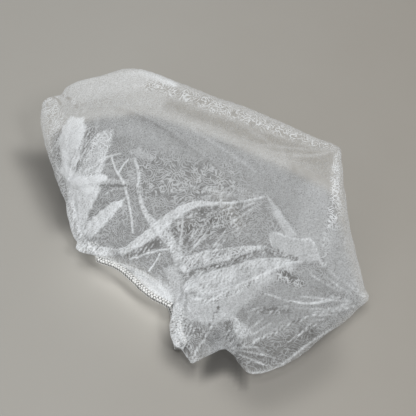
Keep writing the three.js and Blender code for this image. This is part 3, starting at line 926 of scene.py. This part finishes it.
def stitch_loops():
    middle, along, outward, through, half_out = edge_shape(STITCH_SPACING)
    turns = np.arange(LOOP_STEPS) * 2 * math.pi / LOOP_STEPS
    thread_turns = np.arange(THREAD_SIDES) * 2 * math.pi / THREAD_SIDES
    points, faces = [], []
    for i in range(len(middle)):
        slant = STITCH_SPACING * rng.uniform(*LOOP_SLANT)
        size = rng.uniform(*LOOP_SIZE)
        faces += ring_faces(LOOP_STEPS, THREAD_SIDES, closed=True, base=len(points))
        for t in turns:
            way = outward[i] * math.cos(t) + through[i] * math.sin(t)
            spot = (middle[i] + outward[i] * (half_out[i] * size + LOOP_GAP) * math.cos(t)
                    + through[i] * (BAND_THICKNESS / 2 * size + LOOP_GAP) * math.sin(t)
                    + along[i] * slant * math.sin(t))
            points += [spot + THREAD * (way * math.cos(r) + along[i] * math.sin(r)) for r in thread_turns]
    return points, faces


stitch_points, stitch_faces = stitch_loops()
print("loops:", len(stitch_points) // (LOOP_STEPS * THREAD_SIDES))

# %% [markdown]
# On top of the roll the threads lock into each other in two rows of small knots. Each knot is
# a slightly flattened bead, turned a little to its own side.

# %% Stitch knots
KNOT = np.array([1.15, 1.05, 0.8])
KNOT_STEPS = 8
KNOT_RINGS = 6
KNOT_SLANT = (0.25, 0.6)
KNOT_STRAY = (-0.3, 0.3)
KNOT_SIZE = (0.85, 1.15)
KNOT_ROWS = (-0.15, 0.35)  # shares of the half width: to the middle, and from there to each row
KNOT_SHIFT = 0.25
KNOT_HEIGHT = 0.75
KNOT_CLEARANCE = 0.05


def add_knots(points, faces):
    middle, along, outward, through, half_out = edge_shape(STITCH_SPACING)
    up = np.where(through[:, 2:] < 0, -through, through)
    for i in range(len(middle)):
        for side in (-1, 1):
            slant = side * rng.uniform(*KNOT_SLANT)
            way = along[i] * math.cos(slant) + outward[i] * math.sin(slant)
            aside = outward[i] * math.cos(slant) - along[i] * math.sin(slant)
            forward = rng.uniform(*KNOT_STRAY) + KNOT_SHIFT * side * STITCH_SPACING
            spot = (middle[i] + outward[i] * ((KNOT_ROWS[0] + KNOT_ROWS[1] * side) * half_out[i])
                    + up[i] * KNOT_HEIGHT * BAND_THICKNESS / 2 + along[i] * forward)
            size = KNOT * rng.uniform(*KNOT_SIZE)
            faces += ring_faces(KNOT_RINGS, KNOT_STEPS, closed=False, base=len(points))
            for tip in np.arange(KNOT_RINGS) * math.pi / (KNOT_RINGS - 1):
                for turn in np.arange(KNOT_STEPS) * 2 * math.pi / KNOT_STEPS:
                    ring = aside * size[1] * math.cos(turn) + up[i] * size[2] * math.sin(turn)
                    points.append(spot + way * size[0] * math.cos(tip) + ring * math.sin(tip))


add_knots(stitch_points, stitch_faces)
stitch_points = np.array(stitch_points)
stitch_points[:, 2] = np.maximum(stitch_points[:, 2], KNOT_CLEARANCE)
stitches = mesh_object("overlock_stitches", stitch_points, stitch_faces)
print("stitch triangles:", 2 * len(stitch_faces))

# %% [markdown]
# ## Finishes
#
# Colours are written as the hex values that a screen shows, and turned to linear light by one
# function. Another adds a node and gives one of its outputs, so a finish reads as a list of
# steps.

# %% Colour and node helpers
def linear(hex_colour):
    parts = [int(hex_colour[i:i + 2], 16) / 255 for i in (1, 3, 5)]
    return tuple(p / 12.92 if p <= 0.04045 else ((p + 0.055) / 1.055) ** 2.4 for p in parts) + (1.0,)


def add_node(tree, kind, settings=None, out=0, **links):
    """Adds a node, sets or links its inputs by name or as i and a number, and gives one output."""
    node = tree.nodes.new("ShaderNode" + kind)
    for key, value in (settings or {}).items():
        setattr(node, key, value)
    for key, value in links.items():
        numbered = key[0] == "i" and key[1:].isdigit()
        spot = node.inputs[int(key[1:]) if numbered else key.replace("_", " ")]
        if isinstance(value, bpy.types.NodeSocket):
            tree.links.new(value, spot)
        else:
            spot.default_value = value
    return node.outputs[out] if node.outputs else None


def new_finish(name):
    """An empty material, and the function that adds nodes to it."""
    finish = bpy.data.materials.new(name)
    finish.use_nodes = True
    finish.node_tree.nodes.clear()
    return finish, functools.partial(add_node, finish.node_tree)


print("middle grey as linear light: %.3f" % linear("#808080")[0])

# %% [markdown]
# The cloth is spunbond polypropylene: endless fibres a fiftieth of a millimetre thick, blown
# into a random web and bonded by heat. The eye reads its clumps of fibre as swirls. They are
# drawn here as four families of lines, each with its own direction and spacing. One fibre is far
# too fine to show, so a line is as coarse as a clump, 0.8 mm wide. Two clouds bend the lines, a
# third breaks them, and the painted `swirl` says how strongly they show.

# %% Swirls of the web
CLUMP_COLUMNS = ("turn", "spacing")  # degrees, millimetres
CLUMPS = [(8, 3.4), (52, 4.2), (98, 3.0), (143, 3.8)]
CLUMP_LEAN = 0.6
STRAND_WIDTH = 0.8
BENDS = ((14.0, 20.0), (5.0, 5.2))  # size of the cloud, and how far it moves the lines
BREAK_SIZE = 6.0
BREAK_STEP = 7.0
BREAK_RANGE = dict(From_Min=0.42, From_Max=0.56, To_Min=0.0, To_Max=1.0)


def clump_lines(add, place_mm, bent, turn, spacing):
    """One family of lines: where the web is thick because of them, from 0 to 1."""
    angle = math.radians(turn)
    across = (math.cos(angle) / spacing, math.sin(angle) / spacing, CLUMP_LEAN / spacing)
    count = add("VectorMath", {"operation": "DOT_PRODUCT"}, out="Value", i0=bent, i1=across)
    off = add("Math", {"operation": "PINGPONG"}, i0=count, i1=0.5)
    half = 0.5 * STRAND_WIDTH / spacing
    line = add("MapRange", {"interpolation_type": "SMOOTHSTEP"}, Value=off, From_Min=0.5 * half,
               From_Max=1.5 * half, To_Min=1.0, To_Max=0.0)
    moved = add("VectorMath", {"operation": "ADD"}, i0=place_mm, i1=(BREAK_STEP * turn,) * 3)
    gaps = add("TexNoise", out="Fac", Vector=moved, Scale=1 / BREAK_SIZE, Detail=0.0)
    there = add("MapRange", Value=gaps, **BREAK_RANGE)
    return add("Math", {"operation": "MULTIPLY"}, i0=line, i1=there)


def swirls(add, place_mm):
    """All families of lines together."""
    bent = place_mm
    for size, reach in BENDS:
        cloud = add("TexNoise", out="Color", Vector=place_mm, Scale=1 / size, Detail=1.0)
        bent = add("VectorMath", {"operation": "MULTIPLY_ADD"}, i0=cloud, i1=(reach,) * 3, i2=bent)
    strands = None
    for clump in (dict(zip(CLUMP_COLUMNS, row)) for row in CLUMPS):
        line = clump_lines(add, place_mm, bent, **clump)
        strands = add("Math", {"operation": "MAXIMUM"}, i0=strands, i1=line) if strands else line
    return strands


print("families of lines:", len(CLUMPS))

# %% [markdown]
# The web lets light through both in its gaps and through its fibres, so the finish mixes a
# clear part with a milky one. The painted `body` sets the mix: the clear share is one less the
# body, raised to a power that a fine grain varies, and the strands cover part of what is left.

# %% Spunbond cloth
STRAND_COVER = 0.85
GRAIN = 1.2
GRAIN_RANGE = dict(From_Min=0.3, From_Max=0.7, To_Min=0.6, To_Max=1.4)
FIBRE_COLOUR = "#F5F9FD"
MILKY_SHARE = 0.35


def spunbond():
    finish, add = new_finish("spunbond_polypropylene")
    place = add("TexCoord", out="Object")
    place_mm = add("VectorMath", {"operation": "SCALE"}, i0=place, Scale=1 / MM)
    strands = swirls(add, place_mm)
    grain = add("TexNoise", out="Fac", Vector=place_mm, Scale=1 / GRAIN, Detail=2.0)
    uneven = add("MapRange", Value=grain, **GRAIN_RANGE)
    body = add("Attribute", {"attribute_name": "body"}, out="Fac")
    swirl = add("Attribute", {"attribute_name": "swirl"}, out="Fac")
    gap = add("Math", {"operation": "SUBTRACT"}, i0=1.0, i1=body)
    open_web = add("Math", {"operation": "POWER"}, i0=gap, i1=uneven)
    strand = add("Math", {"operation": "MULTIPLY"}, i0=strands, i1=swirl)
    past_strand = add("MapRange", Value=strand, From_Min=0.0, From_Max=1.0, To_Min=1.0,
                      To_Max=1 - STRAND_COVER)
    clear = add("Math", {"operation": "MULTIPLY"}, i0=open_web, i1=past_strand)
    cover = add("Math", {"operation": "SUBTRACT", "use_clamp": True}, i0=1.0, i1=clear)
    bump = add("Bump", Strength=0.35, Distance=0.4 * MM, Height=strands)
    front = add("BsdfPrincipled", Base_Color=linear(FIBRE_COLOUR), Roughness=0.75, Normal=bump)
    through = add("BsdfTranslucent", Color=linear(FIBRE_COLOUR))
    milky = add("MixShader", i0=MILKY_SHARE, i1=front, i2=through)
    both = add("MixShader", i0=cover, i1=add("BsdfTransparent"), i2=milky)
    add("OutputMaterial", Surface=both)
    return finish


cloth = spunbond()
crown.data.materials.append(cloth)
print("cloth nodes:", len(cloth.node_tree.nodes))

# %% [markdown]
# The rolled edge and its thread are spun polyester: matt and softly fuzzy. A small noise gives
# the fuzz as both tone and bump, coarser than real fuzz so that it shows. The roll is painted much
# darker than its thread, a painted shade for the shadow that the stitches throw on it, so that
# the knots stand out from it as they do in the picture.

# %% Polyester thread
FUZZ = 0.9
FUZZ_RANGE = dict(From_Min=0.3, From_Max=0.7, To_Min=0.0, To_Max=1.0)


def fuzzy_white(name, dull, bright):
    finish, add = new_finish(name)
    place = add("TexCoord", out="Object")
    fuzz = add("TexNoise", out="Fac", Vector=place, Scale=1 / (FUZZ * MM), Detail=3.0)
    shade = add("MapRange", Value=fuzz, **FUZZ_RANGE)
    colour = add("Mix", {"data_type": "RGBA"}, out=2, Factor=shade, i6=linear(dull), i7=linear(bright))
    bump = add("Bump", Strength=0.5, Distance=0.3 * MM, Height=fuzz)
    skin = add("BsdfPrincipled", Base_Color=colour, Roughness=0.85, Normal=bump)
    add("OutputMaterial", Surface=skin)
    return finish


# painted shade: the roll's dark greys stand in for the shadow of the stitches on it
band.data.materials.append(fuzzy_white("rolled_hem_painted_shade", "#4E4E4C", "#8E8F8D"))
stitches.data.materials.append(fuzzy_white("polyester_thread", "#C2C3C2", "#EEEFEF"))
print("finishes:", [piece.data.materials[0].name for piece in (crown, band, stitches)])

# %% [markdown]
# ## Floor and light
#
# The cap lies on a pale, matt floor of worn concrete. It is a plane with a fine grid in its
# middle, so that each point of the grid can carry a painted shade.

# %% Floor grid
FLOOR_CELL = 4.0
FLOOR_FINE = 240.0
FLOOR_FAR = 3000.0
FLOOR_LEVEL = -0.3
cells = np.arange(-FLOOR_FINE, FLOOR_FINE + FLOOR_CELL, FLOOR_CELL)
lines = np.concatenate([[-FLOOR_FAR], cells, [FLOOR_FAR]])
floor_x, floor_y = np.meshgrid(lines, lines, indexing="ij")
floor_points = np.stack([floor_x, floor_y, np.full_like(floor_x, FLOOR_LEVEL)], -1).reshape(-1, 3)
count = len(lines)
starts = [i * count + j for i in range(count - 1) for j in range(count - 1)]
floor_faces = [(start, start + count, start + count + 1, start + 1) for start in starts]
floor = mesh_object("floor", floor_points, floor_faces, smooth=False)
print("floor faces:", len(floor_faces))

# %% [markdown]
# Real web throws back far more light than its see-through look suggests, so it shades the floor
# more than this finish does. The missing shade is painted, below the pouch and beside four
# parts of it. Each row takes the upper cloth between two x and two y. It moves it `away`, and
# by `lean` for each millimetre of height, and softens what it covers by so many `passes`.

# %% Painted shadows
FAR = 999.0
UNDER_SHADE = 0.70
UNDER_PASSES = 3
SHADOWS = {
    "left_side": dict(x=(-FAR, -40), y=(8, 108), lean=(-0.75, -0.1), away=(0, 0), strength=0.54, passes=6),
    "near_side": dict(x=(20, 118), y=(-FAR, -60), lean=(0, 0), away=(3, -28), strength=0.30, passes=10),
    "finger": dict(x=(-40, 6), y=(-FAR, -95), lean=(0, 0), away=(-3.1, -8.4), strength=0.60, passes=3),
    "notch": dict(x=(8, 44), y=(-FAR, -90), lean=(0, 0), away=(1.5, -14), strength=0.84, passes=2),
}
edges = np.append(cells, cells[-1] + FLOOR_CELL) - FLOOR_CELL / 2
raised = sheet_points[is_upper]


def floor_shadow(points, strength, passes, inset=False):
    """Shade on the grid below the points, softened by averaging, and ending at the outline if inset."""
    under = (np.histogram2d(points[:, 0], points[:, 1], bins=(edges, edges))[0] > 0).astype(float)
    for _ in range(passes):
        for axis in (0, 1):
            under = 0.5 * under + 0.25 * (np.roll(under, 1, axis) + np.roll(under, -1, axis))
    return strength * (np.clip(2 * under - 1, 0, 1) if inset else under)


def cast_shadow(x, y, lean, away, strength, passes):
    low, high = np.array([x, y]).T
    part = raised[np.all((raised[:, :2] > low) & (raised[:, :2] < high), axis=1)]
    return floor_shadow(part[:, :2] + np.outer(part[:, 2], lean) + away, strength, passes)


shade = np.zeros((count, count))
under_pouch = floor_shadow(sheet_points[~is_upper], UNDER_SHADE, UNDER_PASSES, inset=True)
shade[1:-1, 1:-1] = np.maximum.reduce([under_pouch] + [cast_shadow(**row) for row in SHADOWS.values()])
print("darkest shade: %.2f" % shade.max())

# %% [markdown]
# In front of the mouth the floor is painted lighter, for the light that the white cloth throws down
# on it. This painted glow lies along a line on the floor and fades away from it, over a short and a long
# reach.

# %% Painted glow before the mouth
GLOW_FROM = np.array([-75.0, -47.0])
GLOW_TO = np.array([-29.0, -86.0])
GLOWS = ((14.0, 0.45), (44.0, 0.24))  # reach in millimetres, strength
glow_way = GLOW_TO - GLOW_FROM
from_start = floor_points[:, :2] - GLOW_FROM
along_glow = np.clip(from_start @ glow_way / np.sum(glow_way ** 2), 0, 1)
off_glow = np.linalg.norm(from_start - np.outer(along_glow, glow_way), axis=1).reshape(shade.shape)
# painted light: the floor's painted shade is lifted along the mouth
shade -= sum(glow * np.exp(-(off_glow / reach) ** 2) for reach, glow in GLOWS) * (1 - shade)
store = floor.data.attributes.new("shade", "FLOAT", "POINT")
store.data.foreach_set("value", shade.reshape(-1).astype(np.float32))
print("lightest shade: %.2f" % shade.min())

# %% [markdown]
# The floor is painted darker and warmer at the right and paler at the left, a painted falloff of
# the light, with soft mottling of its own tone. It is then scaled by what the painted shade and
# the painted glow leave.

# %% Concrete floor
PAINTED_FALLOFF_WAY = (-1.0, 0.1, 0.0)
PAINTED_FALLOFF_RANGE = dict(From_Min=-0.32, From_Max=0.10, To_Min=0.0, To_Max=1.0)
MOTTLE_RANGE = dict(From_Min=0.0, From_Max=1.0, To_Min=-0.12, To_Max=0.12)
MOTTLE_SIZE = 1 / 14


def pale_concrete():
    finish, add = new_finish("pale_concrete")
    place = add("TexCoord", out="Object")
    leftward = add("VectorMath", {"operation": "DOT_PRODUCT"}, out="Value", i0=place, i1=PAINTED_FALLOFF_WAY)
    # painted light: darker towards the right and paler towards the left, as the light falls off
    painted_falloff = add("MapRange", Value=leftward, **PAINTED_FALLOFF_RANGE)
    cloud = add("TexNoise", out="Fac", Vector=place, Scale=1 / MOTTLE_SIZE, Detail=5.0)
    mottle = add("MapRange", Value=cloud, **MOTTLE_RANGE)
    pale = add("Math", {"operation": "ADD", "use_clamp": True}, i0=painted_falloff, i1=mottle)
    tone = add("Mix", {"data_type": "RGBA"}, out=2, Factor=pale, i6=linear("#86827B"),
               i7=linear("#92908B"))
    painted = add("Attribute", {"attribute_name": "shade"}, out="Fac")
    lit = add("Math", {"operation": "SUBTRACT"}, i0=1.0, i1=painted)
    shaded = add("VectorMath", {"operation": "SCALE"}, i0=tone, Scale=lit)
    skin = add("BsdfPrincipled", Base_Color=shaded, Roughness=0.75)
    add("OutputMaterial", Surface=skin)
    return finish


floor.data.materials.append(pale_concrete())
print("floor nodes:", len(floor.data.materials[0].node_tree.nodes))

# %% [markdown]
# Three soft lights stand round the cap, each turned to its middle. The main one is at the near
# right, a broad one hangs high behind, and a weaker, broader one at the near left opens up the
# pleats there. The room gives the rest.

# %% Lights and room
LIGHTS = {  # place and side in metres, watts
    "main_light": ((1.15, -1.05, 1.75), 0.6, 25.0),
    "top_light": ((-0.10, 0.55, 2.45), 1.2, 29.0),
    "fill_light": ((-1.2, -1.3, 1.7), 1.6, 19.0),
}
ROOM_STRENGTH = 0.38
CLOTH_LAYERS = 32


def soft_light(name, at, side, watts):
    data = bpy.data.lights.new(name, "AREA")
    data.size = side
    data.energy = watts
    lamp = bpy.data.objects.new(name, data)
    lamp.location = at
    lamp.rotation_euler = (math.atan2(math.hypot(at[0], at[1]), at[2]), 0.0, math.atan2(at[0], -at[1]))
    bpy.context.scene.collection.objects.link(lamp)


for name, row in LIGHTS.items():
    soft_light(name, *row)
world = bpy.data.worlds.new("room")
world.use_nodes = True
background = world.node_tree.nodes["Background"]
background.inputs["Color"].default_value = linear("#F4F2EE")
background.inputs["Strength"].default_value = ROOM_STRENGTH
bpy.context.scene.world = world
bpy.context.scene.view_settings.view_transform = "Standard"
bpy.context.scene.cycles.transparent_max_bounces = CLOTH_LAYERS
print("lights:", list(LIGHTS))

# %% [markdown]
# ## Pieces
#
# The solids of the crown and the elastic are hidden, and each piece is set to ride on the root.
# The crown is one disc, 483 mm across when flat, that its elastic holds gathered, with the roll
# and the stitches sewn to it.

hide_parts("crown")
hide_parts("elastic_band")
for piece, slot in ((crown, "nonwoven"), (band, "elastic"), (stitches, "elastic")):
    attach(piece, "root")
